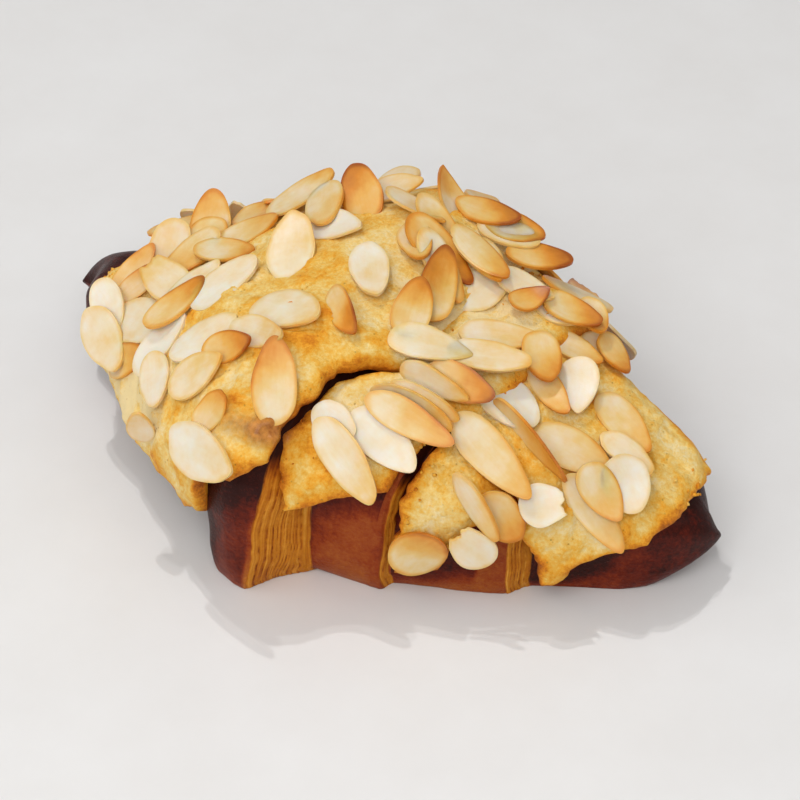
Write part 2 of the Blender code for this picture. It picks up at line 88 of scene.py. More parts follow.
# Almond cream.
CREAM_THICK = 5.0
CREAM_RIM = 1.6
RIM_ROUND = 6.0
CREAM_FLOOR = 0.6
DROOP_REACH = 16.0
BUMP_HEIGHT = 1.1
BUMP_SIZE = 15.0
CREAM_GRAIN = 0.6           # spacing of the cream's points
KNOB_U = -3.4               # a browned, glazed knob near the middle wrap's lower edge
KNOB_DEGREES = 35.5
KNOB_RADIUS = 3.7
KNOB_HEIGHT = 1.7
KNOB_SHAPE = 0.8            # millimetres for each degree round the roll

# Flaked almonds.
FLAKE_THICK = 0.85
FLAKE_TAPER = 0.16
PITCH_RAISE = 0.22
ROLL_RAISE = 0.28
FLAKE_LENGTHS = (13.0, 18.0)
FLAKE_WIDTH_SHARE = 0.54
LOOSE_FRONT = -32.0         # before the crest, loose flakes lie only left of here
LOOSE_BACK = 97.0           # degrees at which the crest is passed
LOOSE_LOW = 30.0            # degrees under which there are none
LOOSE_FLAKES = 62
LOOSE_TRIES = 4000
LOOSE_SPACING = 6.8
LOOSE_PLACES = (-54.0, 36.0)            # range of u in which they are spread
LOOSE_DEGREES = (14.0, 150.0)
LOOSE_BROKEN = 0.15                     # share of them that are broken
LOOSE_BREAKS = (0.22, 0.36)             # how far along a broken one ends, as a share of its length
SEED = 13
FLAKE_AROUND = 44                       # points round a slice's outline
FLAKE_RINGS = (0.0, 0.3, 0.55, 0.75, 0.88, 0.95, 0.985, 1.0)
BROKEN_FLAKES = {59: 0.3, 62: 0.27}     # placed flakes that lack their head end: how far along they break

# How each flake settles on the earlier ones. Lengths in millimetres.
FLAKE_GAP = 0.2
SETTLE_ROUNDS = 4
TEST_SPOTS = 7                          # spots tested along and across a flake, out to TEST_REACH of its edge
TEST_REACH = 0.9
TEST_ROUND = 0.85                       # squared radius within which a spot counts as on the flake
OVERLAP = 0.95                          # squared radius within which it lies over another flake
NEAR = 4.0                              # flakes farther apart than this don't meet
LEAST_FACING = 0.5                      # nor do those whose normals differ by more than this cosine
LEAN_SHARE = 0.7                        # weight of the other flake's normal when one leans over
LEAN_OVER = 1.3                         # one that would have to rise more than this leans over first
MOST_LIFT = 1.9                         # the farthest that a flake is lifted to clear the ones under it
HIGHEST = 55.2                          # no flake stands higher than this

# Crumbs.
CRUMBS = 320
CRUMB_RADII = (0.2, 0.5)
CRUMB_STRETCH = (0.6, 1.3)
CRUMB_BROWN = (0.3, 0.7)
CRUMB_EDGE_SHARE = 0.7                  # share of them that lie close to an edge, within CRUMB_EDGE of it
CRUMB_EDGE = (0.4, 1.5)

# The flakes that lie on the front and the top: u, degrees round, heading in the surface from +X towards the
# crest, pitch of the long axis, roll about it, length, width, how toasted. Angles in degrees, sizes in
# millimetres. A flake is narrowest and most toasted at the end that it heads to. Most rows began as ends read
# off the photo that a program converted, and were then gone over one by one.
PLACED_FLAKES = (
    (-43, 97, 105, 40, 12, 16, 9, 0.5), (-41, 90, -60, 20, 0, 12, 9, 1.0),
    (-33, 107, 0, 12, 15, 14, 8, 0.8), (-30, 91, 25, 12, 10, 14, 8, 0.6),
    (-22, 108, 35, 22, 12.5, 17, 10, 0.4), (-12, 105, 130, 40, -15, 15, 9, 0.9),
    (-9, 114, 5, 12, 20, 13, 8, 0.3), (-5, 116, 150, 30, 10, 13, 8, 0.6),
    (0, 121, 15, 14, 22.5, 14, 8, 1.0), (4, 121, 10, 8, 10, 14, 9, 0.2), (4, 124, 20, 10, 27.5, 13, 9, 0.8),
    (10, 120, 30, 20, 20, 14, 8, 1.0), (-15, 86, 110, 22, 8, 18, 10, 0.3),
    (-12, 91, -10, 4, 15, 15, 9, 0.1), (-7, 70, -7, -4, 0, 17, 12, 0.2), (-4, 85, -52, 4, 10, 17, 8, 0.2),
    (-3, 73, -40, 6, 48, 14, 6, 0.8), (-2, 91, -48, 8, 15, 13, 7, 0.5), (4, 88, 112, 12, 15, 19, 8, 0.9),
    (4, 81, 108, 10, 0, 15, 8, 0.6), (-8, 61, -12, 4, 20, 17, 7, 0.3), (-12, 54, 15, 8, 30, 13, 7, 0.9),
    (-19, 54, 40, 4, 5, 16, 10, 0.1), (-23, 73, 64, 8, 6, 17, 10, 0.1), (-43, 51, -8, 2, 0, 20, 11, 0.1),
    (-34, 72, 70, 8, 10, 15, 8, 0.1), (-54, 72, 65, 20, 40, 14, 6, 0.5), (-50, 68, 50, 15, 50, 13, 5, 0.8),
    (-16, 43, 40, 5, 8, 14, 10, 0.2), (-27, 34, -45, 6, -15, 15, 7, 0.1), (-8, 36, 60, 10, 30, 10, 6, 0.6),
    (-5, 49, 118, 12, 4, 18, 9, 0.7), (-7, 24, -4, -6, 4, 19, 11, 0.2), (-25, 20, 60, 30, 60, 10, 6, 0.3),
    (10, 74, 20, 6, 10, 17, 8, 0.2), (20, 78, 27, 6, 10, 17, 7, 0.3), (18, 86, 34, 6, 10, 17, 7, 0.3),
    (8, 92, 73, 8, 0, 14, 10, 0.2), (22, 104, 20, 10, 10, 12, 8, 0.3), (14, 101, 5, 5, 10, 13, 7, 0.2),
    (17, 96, 60, 20, 0, 9, 6, 1.0), (0, 93, -14, 8, 15, 19, 9, 0.9), (-6, 102, -18, 4, -15, 17, 7, 0.5),
    (-2, 100, -18, 4, -15, 17, 7, 0.6), (6, 100, -40, 8, 10, 15, 8, 0.5), (2, 90, -25, 8, -15, 18, 7, 0.5),
    (28, 71, -12, 3, 0, 14, 11, 0.0), (32, 81, -30, 8, 25, 14, 6, 0.5), (27, 86, -45, 5, 0, 12, 8, 0.7),
    (36, 87, -60, 2, 0, 13, 9, 0.1), (29, 96, 5, 6, 10, 13, 6, 0.4), (47, 85, -22, 5, 15, 16, 8, 0.5),
    (43, 63, 5, 3, 4, 17, 9, 0.4), (52, 72, -10, 4, 8, 13, 6, 0.3), (53, 36, -34, 3, 0, 19, 7, 0.4),
    (52, 48, -30, 3, 4, 13, 8, 0.5), (55, 57, -40, 6, 0, 12, 10, 0.1), (32, 47, -23, 8, 4, 22, 9, 0.4),
    (36, 59, -22, 6, 86, 22, 6, 0.7), (45, 32, 25, 3, 0, 11, 9, 0.0), (38.5, 23, -35, 6, 6, 12, 9, 0.7),
    (34, 26, -45, 8, 68, 16, 6, 0.4), (35, 9, 140, -4, 0, 12, 9, 0.2), (27, 2, 45, 6, 0, 13, 11, 0.8),
    (14, 42, -21, 6, 4, 17, 9, 0.1), (5, 44, -14, 3, 6, 10, 7, 0.0), (10, 32, -36, 6, 15, 20, 8, 0.2),
    (15, 65, 0, 8, 58, 15, 6, 0.4), (15, 56, 0, 8, 56, 18, 6, 0.4), (16, 60, 3, 8, 58, 16, 6, 0.3),
    (16, 51, -4, 8, 50, 20, 7, 0.6), (19, 69, 10, 3, 5, 15, 8, 0.9), (5, 99, -22, 8, 15, 18, 7, 0.6),
    (27, 113, -40, 6, 10, 10, 6, 0.5), (24, 106, 10, 5, 5, 13, 7, 0.8), (31, 112, 15, 6, 0, 8, 6, 0.3),
    (35, 110, -35, 3, 5, 12, 6, 0.7),
)


# ---------------------------------------------------------------- maths

def smooth(t):
    """0 to 1 with level ends."""
    t = np.clip(t, 0.0, 1.0)
    return t * t * (3.0 - 2.0 * t)


def profile(*points):
    """A value that changes evenly between the given places."""
    places, values = zip(*points)
    return lambda x: np.interp(x, places, values)


def grain(points, size, seed=0):
    """Smooth noise between -1 and 1 at each point, with lumps of the given size."""
    q = np.asarray(points, float) / size
    cell = np.floor(q).astype(np.int64)
    part = q - cell
    part = part * part * (3.0 - 2.0 * part)
    total = np.zeros(q.shape[:-1])
    for corner in range(8):
        step = np.array([corner & 1, corner >> 1 & 1, corner >> 2 & 1])
        at = cell + step
        mixed = at[..., 0] * HASH_X ^ at[..., 1] * HASH_Y ^ at[..., 2] * HASH_Z ^ (seed + 1) * HASH_SEED
        mixed = (mixed ^ mixed >> 13) * HASH_MIX
        value = ((mixed ^ mixed >> 16) & 0xFFFF) / 32767.5 - 1.0
        weight = np.prod(np.where(step == 1, part, 1.0 - part), axis=-1)
        total += value * weight
    return total


def lumps(points, size, octaves, seed=0):
    """Noise with finer lumps added, each octave half the size and a little over half the height."""
    total = np.zeros(np.shape(points)[:-1])
    for k in range(octaves):
        total += grain(points, size * 0.5 ** k, seed + k) * 0.55 ** k
    return total


# ---------------------------------------------------------------- the roll's surface

def reach(x):
    """0 at the middle wrap, 1 at either horn's end."""
    t = np.where(x > X_MID, (x - X_MID) / (X_RIGHT - X_MID), (X_MID - x) / (X_MID - X_LEFT))
    return np.clip(t, 0.0, 1.0)


def envelope(u, a):
    """The roll without its wraps, at place u along it and angle a round it."""
    side = np.clip((u - X_MID) / SWING_BLEND, -1.0, 1.0) * (1.0 - reach(u) ** 3)
    x = u + side * (SWING * (1.0 - np.cos(a + SWING_START)) - SWING_BACK)
    x = np.clip(x, X_LEFT, X_RIGHT)
    t = reach(x)
    slant = np.where(x < X_MID, LEFT_SLANT, RIGHT_SLANT) / 2 * smooth((t - SLANT_START) / (1.0 - SLANT_START))
    blunt = np.sqrt(np.clip(1.0 - t ** BLUNT_POWER, 0.0, 1.0))
    c, s = np.cos(a), np.sin(a)
    front = c > 0
    taper_power = np.where(front, FRONT_TAPER, BACK_TAPER)
    taper = HORN_WIDTH_SHARE + (1.0 - HORN_WIDTH_SHARE) * (1.0 - t ** taper_power)
    half_width = np.where(front, FRONT_HALF_WIDTH, BACK_HALF_WIDTH) * taper * blunt
    fall = np.where(x < X_MID, LEFT_FALL, RIGHT_FALL)
    horn = np.where(x < X_MID, LEFT_HORN_HEIGHT, RIGHT_HORN_HEIGHT)
    height = horn + (CREST_HEIGHT - horn) * (1.0 - t ** fall)
    low = HORN_LIFT * smooth((t - LIFT_START) / (1.0 - LIFT_START))
    level = low + (height - low) * MID_LEVEL_SHARE
    power = np.where(s > 0, UPPER_ROUND, LOWER_ROUND)
    y = -half_width * np.sign(c) * np.abs(c) ** power
    x = x - slant * (np.sign(x - X_MID) - np.sign(c) * np.sqrt(np.abs(c)))
    depth = np.where(s > 0, height - level, (low - level) * UNDERCUT)
    z = level + depth * np.abs(s) ** power * blunt
    return np.stack([x, y, z], axis=-1)


def outward(u, a):
    """Unit normal of the envelope."""
    du, da = 0.2, 0.01
    u0, u1 = np.maximum(u - du, X_LEFT + 0.5), np.minimum(u + du, X_RIGHT - 0.5)
    n = np.cross(envelope(u1, a) - envelope(u0, a), envelope(u, a + da) - envelope(u, a - da))
    return n / np.maximum(np.linalg.norm(n, axis=-1, keepdims=True), 1e-9)


def wrap_place(u, a):
    """A place on the roll as its twin on the right half, along which the wraps are laid out."""
    lean = EDGE_LEAN * smooth((0.3 - a) / 0.7) * smooth((8.5 - u) / 9.0)
    return np.where(u > X_MID, u + lean, 2.0 * X_MID - u)


def tuck(u, a):
    """How far the left flank draws in under the cream that overhangs it, most of all near the table."""
    flank = smooth((X_MID - TUCK_START - u) / 6.0) * smooth((0.9 - a) / 0.5) * smooth((a + 1.4) / 0.5)
    return flank * (TUCK_SKIN + (TUCK_DEPTH - TUCK_SKIN) * smooth((0.2 - a) / 0.6))


def wrap_offset(u, a):
    """Height of the dough over the envelope: each wrap swells towards its cut edge, then steps down."""
    places, heights = [X_MID], [EDGE_DROPS[0] / 2 - EDGE_ROUND]
    for edge, width, drop in zip(WRAP_EDGES, EDGE_WIDTHS, EDGE_DROPS):
        places += [edge, edge + width]
        heights += [drop / 2, -drop / 2]
    places.append(X_RIGHT)
    heights.append(0.0)
    m = wrap_place(u, a)
    offset = sum(np.interp(m + d, places, heights) for d in (-EDGE_ROUND, 0.0, EDGE_ROUND)) / 3.0
    return (offset - tuck(u, a)) * (1.0 - reach(u) ** 8)


# ---------------------------------------------------------------- meshes

def grid_faces(columns, rows, start=0, flip=False, closed=False):
    """Quads of a grid of points whose rows run fastest; closed joins the last row to the first."""
    i, j = np.meshgrid(np.arange(columns - 1), np.arange(rows if closed else rows - 1), indexing="ij")
    k = (j + 1) % rows
    quads = np.stack([i * rows + j, (i + 1) * rows + j, (i + 1) * rows + k, i * rows + k], axis=-1)
    quads = quads.reshape(-1, 4) + start
    return quads[:, ::-1] if flip else quads


def mesh_piece(name, points, faces, attributes, surface):
    """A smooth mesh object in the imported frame, with a number for each point under each attribute's name."""
    mesh = bpy.data.meshes.new(name)
    placed = (np.asarray(points) * MM + SHIFT).tolist()
    mesh.from_pydata(placed, [], [tuple(int(v) for v in face) for face in faces])
    for key, values in attributes.items():
        layer = mesh.attributes.new(key, "FLOAT", "POINT")
        layer.data.foreach_set("value", np.asarray(values, np.float32).ravel())
    mesh.shade_smooth()
    mesh.materials.append(surface)
    obj = bpy.data.objects.new(name, mesh)
    bpy.context.scene.collection.objects.link(obj)
    return obj


# ---------------------------------------------------------------- dough

def dough_stations():
    """Places along the roll: dense on the cut faces, wider on the smooth skin."""
    places = [np.arange(X_LEFT + 3.0, X_RIGHT - 3.0, 0.8)]
    for edge, width in zip(WRAP_EDGES, EDGE_WIDTHS):
        places.append(np.arange(edge - EDGE_LEAN - 0.6, edge + width + 0.6, 0.13))
    ends = 3.0 * np.linspace(0.0, 1.0, 12) ** 2 + 0.02
    places += [X_LEFT + ends, X_RIGHT - ends]
    stations = np.unique(np.round(np.concatenate(places), 3))
    return stations[np.concatenate([[True], np.diff(stations) > 0.05])]


def cut_layers(m):
    """Where a place is on a cut face: how much it is cut, how deep in a groove, and its layer's width."""
    cut, groove, wide = np.zeros_like(m), np.zeros_like(m), np.zeros_like(m)
    for edge, width, layers in zip(WRAP_EDGES, EDGE_WIDTHS, LAYER_WIDTHS):
        bounds = edge + width * np.concatenate([[0.0], np.cumsum(layers)]) / sum(layers)
        k = np.clip(np.searchsorted(bounds, m) - 1, 0, len(layers) - 1)
        s = (m - bounds[k]) / (bounds[k + 1] - bounds[k])
        inside = smooth((m - edge) / 0.25 + 0.5) * smooth((edge + width - m) / 0.25 + 0.5)
        cut = np.maximum(cut, inside)
        groove = np.where(inside > 0.5, np.abs(2.0 * s - 1.0) ** 5, groove)
        wide = np.where(inside > 0.5, (bounds[k + 1] - bounds[k]), wide)
    return cut, np.clip(groove, 0, 1), wide


def cream_front(u):
    """Lowest angle that cream covers at each place along the roll, in degrees."""
    lowest = np.full(np.shape(u), 90.0)
    for lobe in LOBES:
        here = (lobe.left(20.0) < u) & (u < lobe.right(20.0))
        lowest = np.where(here, np.minimum(lowest, lobe.front(u)), lowest)
    return lowest


def bake_and_shade_of(u, a, m, points):
    """How dark the skin is: darkest on the middle wrap and the horns from the baking, lighter low down near
    the table, with painted shade added under the cream's edge and just past each cut face.
    """
    # Darker at the wraps' edges: each wrap's outer rim browns more in the oven, and just past each cut face
    # the darkening is painted shade under the wrap above.
    along = profile((-81, 0.96), (-60, 0.84), (-20, 0.76), (-6, 0.72), (-1.5, 0.8), (7, 0.75), (8.5, 0.5),
                    (12, 0.4), (17, 0.4), (20.5, 0.55), (23, 0.45), (38, 0.42), (41, 0.5), (45, 0.6),
                    (58, 0.74), (68, 0.9), (75, 1.0))
    # Painted shade: the skin darkens up to the cream's overhanging edge, less so round the back.
    painted_shade_under_cream = smooth((np.degrees(a) - cream_front(u) + 22.0) / 20.0)
    painted_shade_under_cream = painted_shade_under_cream * (1.0 - 0.7 * smooth((a - 2.75) / 0.3))
    low = 0.1 * smooth((-0.1 - a) / 0.6)
    rim = smooth((m - WRAP_EDGES[0] + 1.3) / 1.0) * smooth((WRAP_EDGES[0] + 0.3 - m) / 0.2)
    rim = rim * smooth((0.2 - a) / 0.4)
    baked_and_shaded = along(m) + 0.46 * painted_shade_under_cream - low - 0.55 * rim + 0.07 * lumps(points, 9.0, 3, 40)
    return np.clip(baked_and_shaded, 0.0, 1.0)


def dough_piece(surface):
    """The baked dough, with layered cut faces and a flat underside."""
    stations = dough_stations()
    upper = np.linspace(math.radians(-27.0), math.radians(207.0), 212)
    lower = np.radians(np.linspace(212.0, 328.0, 16))
    angles = np.concatenate([upper, lower])
    u, a = np.meshgrid(stations, angles, indexing="ij")
    front_angle = np.where(a > math.radians(210.0), a - 2 * math.pi, a)
    base, normal = envelope(u, a), outward(u, a)
    m = wrap_place(u, front_angle)
    wavy = m + 0.34 * grain(base, 7.0, 3) + 0.2 * grain(base, 2.4, 4)
    cut, groove, wide = cut_layers(np.where(u > X_MID, wavy, X_MID))
    skin = 0.35 * grain(base, 11.0, 8) + 0.12 * grain(base, 4.0, 9) + 0.03 * grain(base, 1.3, 10)
    blister = np.clip(grain(base, 1.6, 12) - 0.35, 0, 1) * smooth((u - 52.0) / 14.0)
    fibrous = base * np.array([1.0, 0.4, 0.4])
    torn = 0.14 * grain(fibrous, 0.7, 14) + 0.16 * grain(fibrous, 2.0, 15)
    relief = (1 - cut) * (skin + 0.3 * blister) + cut * (torn + (0.1 + 0.02 * wide) * (0.45 - groove))
    height = wrap_offset(u, front_angle) + relief * (1.0 - reach(u) ** 20)
    points = base + normal * height[..., None]
    points[..., 2] = np.maximum(points[..., 2], 0.0)
    columns, rows = u.shape
    flat = points.reshape(-1, 3)
    flat = np.vstack([flat, flat[:rows].mean(axis=0), flat[-rows:].mean(axis=0)])
    faces = [tuple(f) for f in grid_faces(columns, rows, closed=True)]
    first, last = columns * rows, columns * rows + 1
    for j in range(rows):
        k = (j + 1) % rows
        faces.append((first, j, k))
        faces.append((last, (columns - 1) * rows + k, (columns - 1) * rows + j))
    bake_and_shade = bake_and_shade_of(u, front_angle, np.where(u > X_MID, m, u), points)
    # Painted shade on the cut faces from about 17 degrees round, where they lie under the cream and round the
    # back.
    shade = smooth((front_angle - 0.3) / 0.3)
    attributes = {"cut": cut, "groove": groove, "bake_and_shade": bake_and_shade, "shade": shade, "across": wavy,
                  "round": front_angle}
    attributes = {key: np.append(value.ravel(), [value.ravel()[0], value.ravel()[-1]])
                  for key, value in attributes.items()}
    return mesh_piece("baked_dough", flat, faces, attributes, surface)


# ---------------------------------------------------------------- almond cream

class Lobe:
    """One sheet of almond cream.

    left and right give its side edges' u by the degrees round the roll, front and back give where its lower
    edges run, in degrees, by u. level is the height of its top over the envelope, flare how far its lower
    edge stands off by u. cells counts its points across and up.
    """

    def __init__(self, left, right, front, back, level, flare, size):
        self.left, self.right = left, right
        self.front, self.back = front, back
        self.level, self.flare = level, flare
        self.cells = tuple(round(length / CREAM_GRAIN) for length in size)

    def grid(self):
        """Places u, angles a, and the shares p and q across and up the sheet."""
        shares = [np.sin(np.linspace(-0.5, 0.5, n) * 2.2) / math.sin(1.1) * 0.5 + 0.5 for n in self.cells]
        p, q = np.meshgrid(*shares, indexing="ij")
        low = float(self.front(self.left(0.0)))
        middle = self.left(low) + (self.right(low) - self.left(low)) * p[:, :1]
        degrees = self.front(middle) + (self.back(middle) - self.front(middle)) * q
        left, right = self.left(degrees), self.right(degrees)
        return left + (right - left) * p, np.radians(degrees), p, q

    def skins(self):
        """Outer and inner points of the sheet, in millimetres, and how far each is from an edge."""
        u, a, p, q = self.grid()
        rough = envelope(u, a)
        u = u + (0.7 * grain(rough, 4.0, 20) + 0.55 * grain(rough, 1.5, 21)) * np.abs(2 * p - 1) ** 6
        a = a + 0.012 * (grain(rough, 4.0, 22) + grain(rough, 1.6, 23)) * np.abs(2 * q - 1) ** 6
        base, normal = envelope(u, a), outward(u, a)
        across = np.linalg.norm(np.diff(base, axis=0), axis=-1).sum(axis=0)[None, :]
        up = np.linalg.norm(np.diff(base, axis=1), axis=-1).sum(axis=1)[:, None]
        inset = np.minimum(np.minimum(p, 1 - p) * across, np.minimum(q, 1 - q) * up)
        rise = np.sqrt(1.0 - (1.0 - np.clip(inset / RIM_ROUND, 0, 1)) ** 2)
        thick = CREAM_RIM + (CREAM_THICK - CREAM_RIM) * rise
        droop = np.clip(1.0 - q * up / DROOP_REACH, 0, 1) ** 2 * self.flare(u)
        bump = np.array([BUMP_HEIGHT * noise.noise(Vector(x) / BUMP_SIZE) for x in base.reshape(-1, 3)])
        middle = self.level(u, np.degrees(a)) + droop - CREAM_THICK / 2 + bump.reshape(u.shape)
        crumb = 0.65 * grain(base, 5.0, 30) + 0.5 * grain(base, 2.4, 31) + 0.32 * grain(base, 1.3, 32)
        crumb = crumb * smooth(inset / 2.0 + 0.3)
        lift = crumb + KNOB_HEIGHT * knob_of(u, np.degrees(a))
        outer = base + normal * (middle + thick / 2 + lift)[..., None]
        inner = base + normal * (middle - thick / 2)[..., None]
        for side in (outer, inner):
            side[..., 2] = np.maximum(side[..., 2], CREAM_FLOOR)
        outer[..., 2] = np.maximum(outer[..., 2], inner[..., 2] + CREAM_RIM / 2)
        return outer, inner, inset, crumb, u, a

    def holds(self, u, degrees):
        """Whether a place lies on this sheet."""
        across = self.left(degrees) <= u <= self.right(degrees)
        return bool(across and self.front(u) <= degrees <= self.back(u))


def left_level(u, degrees):
    """The sheet stands highest on the middle wrap and thins towards the left horn."""
    hump = smooth((u + 40) / 20) * smooth((14 - u) / 16) * smooth((degrees + 5) / 30)
    return 3.0 + 1.5 * smooth((u + 55) / 20) + 4.0 * hump


def second_level(u, degrees):
    """Low at the front, where the second wrap lies under the middle one's edge, joining it near the crest."""
    return 3.5 + 3.0 * smooth((degrees - 50) / 30)


def level_sheet(height):
    """A sheet whose top keeps one height over the envelope."""
    return lambda u, degrees: height + 0.0 * u


BACK_EDGE = profile((-66, 118), (-50, 150), (-20, 163), (26, 158), (40, 126), (50, 114), (68, 105))
LOBES = (
    Lobe(profile((0, -54), (15, -59), (30, -63), (60, -67), (75, -66), (90, -62), (180, -58)),
         profile((40, -1), (47, 0), (58, 1), (63, 3), (67, 7), (75, 13)),
         profile((-66, 24), (-60, 14), (-50, 6), (-40, 2), (-20, 0), (-12, 2), (-9, 14), (-6, 19), (-3, 25),
                 (2, 31)),
         BACK_EDGE, left_level, profile((-60, 0), (-42, 1.5)), (78, 110)),
    Lobe(profile((12, 2.4), (25, 0.2), (35, -1.0), (47, 0.1), (58, 1.5), (63, 4.2), (67, 8.4)),
         profile((0, 19.5), (27, 19.2), (36, 19.8), (57, 22.3), (62, 27)),
         profile((2, 8), (6, 12), (11, 16), (20, 23)),
         BACK_EDGE, second_level, profile((0, 1.5), (20, 1.5)), (22, 95)),
    Lobe(profile((-10, 23.5), (15, 22.5), (27, 21.8), (36, 22.2), (57, 24.3), (62, 22)),
         profile((-10, 31), (5, 33), (15, 36), (25, 37.5), (33, 37.5), (45, 31), (57, 25.8), (62, 27)),
         profile((20, -5), (30, -3), (34, 4)),
         profile((20, 63), (40, 63)), level_sheet(4.2), profile((20, 0.5), (40, 0.5)), (18, 50)),
    Lobe(profile((-10, 49), (0, 47.5), (10, 44), (33, 40), (45, 32), (57, 26.2), (62, 22)),
         profile((0, 62), (30, 64), (50, 67), (80, 68), (100, 66)),
         profile((42, 10), (47, -6), (52, -2), (57, 6), (62, 22), (66, 40)),
         BACK_EDGE, level_sheet(4.5), profile((45, 2), (60, 1.5)), (42, 75)),
)


def top_level(u, degrees):
    """Height of the cream's top over the envelope at a place, or None where there is no cream."""
    levels = [float(lobe.level(u, degrees)) for lobe in LOBES if lobe.holds(u, degrees)]
    return max(levels) if levels else None


def knob_of(u, degrees):
    """1 on the glazed knob, 0 away from it."""
    return smooth(1.4 - np.hypot(u - KNOB_U, (degrees - KNOB_DEGREES) * KNOB_SHAPE) / KNOB_RADIUS)


def cream_piece(surface):
    """Every sheet of cream, as closed sheets that run into one another."""
    points, faces, values = [], [], {"brown": [], "knob": []}
    for lobe in LOBES:
        outer, inner, inset, crumb, u, a = lobe.skins()
        columns, rows = inset.shape
        size = columns * rows
        start = sum(len(block) for block in points)
        points.append(np.vstack([outer.reshape(-1, 3), inner.reshape(-1, 3)]))
        faces.append(grid_faces(columns, rows, start))
        faces.append(grid_faces(columns, rows, start + size, flip=True))
        rim = np.concatenate([
            np.arange(columns) * rows,
            (columns - 1) * rows + np.arange(1, rows),
            np.arange(columns - 2, -1, -1) * rows + rows - 1,
            np.arange(rows - 2, 0, -1),
        ]) + start
        after = np.roll(rim, -1)
        faces.append(np.stack([after, rim, rim + size, after + size], axis=-1))
        degrees = np.degrees(a)
        edge = np.clip(1.0 - inset / 4.0, 0, 1)
        patch = smooth(lumps(outer, 10.0, 3, 50) * 0.9 + 0.3)
        raised = smooth(crumb * 0.7 + 0.25)
        knob = knob_of(u, degrees)
        # Paler cream: painted light on the left flap low down, and paler over the second wrap above about 38
        # degrees.
        pale = smooth((-12.0 - u) / 20.0) * smooth((60.0 - degrees) / 30.0)
        pale += 0.8 * smooth((degrees - 38.0) / 10.0) * smooth((u + 1.0) / 4.0) * smooth((24.0 - u) / 8.0)
        brown = 0.21 + 0.5 * edge ** 2 + 0.3 * patch * raised + 0.16 * raised - 0.26 * pale
        brown = np.clip(brown, 0, 1)
        values["brown"] += [brown.ravel(), np.clip(brown + 0.2, 0, 1).ravel()]
        values["knob"] += [knob.ravel(), knob.ravel()]
    attributes = {key: np.concatenate(blocks) for key, blocks in values.items()}
    return mesh_piece("almond_cream", np.vstack(points), np.vstack(faces), attributes, surface)


# ---------------------------------------------------------------- almond flakes

def surface_frame(u, degrees):
    """Point of the envelope at a place, and the directions along the roll, up round it and out of it."""
    uu, aa = np.array([float(u)]), np.array([math.radians(degrees)])
    base, out = Vector(envelope(uu, aa)[0]), Vector(outward(uu, aa)[0])
    east = (Vector((1, 0, 0)) - out * out.x).normalized()
    return base, east, out.cross(east), out


def turned(first, second, angle):
    """Two directions at right angles, turned in their plane."""
    c, s = math.cos(angle), math.sin(angle)
    return first * c + second * s, second * c - first * s


def flake_frame(row):
    """Centre, long axis, short axis and normal of a flake that leans off the cream by its pitch and roll."""
    u, degrees, heading, pitch, roll, length, width = row[:7]
    pitch, roll = math.radians(pitch), math.radians(roll)
    base, along, across, out = surface_frame(u, degrees)
    along, across = turned(along, across, math.radians(heading))
    along, normal = turned(along, out, pitch)
    across, normal = turned(across, normal, roll)
    raised = FLAKE_THICK / 2 + length * PITCH_RAISE * abs(math.sin(pitch))
    raised = raised + width * ROLL_RAISE * abs(math.sin(roll))
    centre = base + out * ((top_level(u, degrees) or CREAM_THICK) + raised)
    return np.array([centre, along, across, normal])


def loose_flakes():
    """The other flakes: spread evenly over the cream by refusing a spot that is too near an earlier one."""
    draw = random.Random(SEED)
    spots = [surface_frame(row[0], row[1])[0] for row in PLACED_FLAKES]
    rows = []
    for _ in range(LOOSE_TRIES):
        u, degrees = draw.uniform(*LOOSE_PLACES), draw.uniform(*LOOSE_DEGREES)
        heading, pitch, roll = draw.uniform(0.0, 360.0), draw.gauss(7.0, 6.0), draw.gauss(0.0, 9.0)
        length = draw.uniform(*FLAKE_LENGTHS)
        spot = surface_frame(u, degrees)[0]
        bare = degrees < LOOSE_BACK and (u > LOOSE_FRONT or degrees < LOOSE_LOW)
        crowded = min((spot - other).length for other in spots) < LOOSE_SPACING
        if bare or crowded or top_level(u, degrees) is None:
            continue
        spots.append(spot)
        rows.append((u, degrees, heading, pitch, roll, length, length * FLAKE_WIDTH_SHARE))
        if len(rows) == LOOSE_FLAKES:
            break
    return rows


def slice_points(draw, length, width, broken):
    """One almond slice in its own frame: a thin cupped egg-shaped plate, perhaps broken off at one end."""
    t = 2 * math.pi * np.arange(FLAKE_AROUND) / FLAKE_AROUND
    wobble = 1.0 + sum(draw.gauss(0, 0.008) * np.cos(k * t + draw.uniform(0, 6.3)) for k in (2, 3, 4, 5, 7))
    head = (0.5 + 0.5 * np.cos(t)) ** 2
    sharp = 0.4 * draw.random() ** 2
    x = length / 2 * np.cos(t) * wobble * (1.0 + 0.12 * sharp * head)
    y = width / 2 * np.sin(t) * wobble * (1.0 - FLAKE_TAPER * np.cos(t)) * (1.0 - sharp * head)
    if broken:
        ragged = 0.35 * np.sin(y * draw.uniform(1.2, 2.0) + draw.uniform(0, 6.0)) + 0.2 * np.sin(y * 4.0)
        x = np.minimum(x, length * broken + ragged)
    ring = np.array(FLAKE_RINGS)[:, None]
    px, py = ring * x[None, :], ring * y[None, :]
    bend, cup = draw.gauss(0.4, 0.4), draw.gauss(0.2, 0.25)
    twist = draw.gauss(0.0, 0.04)
    pz = bend * (2 * px / length) ** 2 + cup * (2 * py / width) ** 2 + twist * px * py / 4
    edge = np.broadcast_to(ring, px.shape)
    half = FLAKE_THICK * draw.uniform(0.85, 1.1) / 2 * (1.0 - 0.25 * edge ** 12)
    top = np.stack([px, py, pz + half], axis=-1)
    bottom = np.stack([px, py, pz - half], axis=-1)
    return top, bottom, edge, px / (length / 2), py / (width / 2)


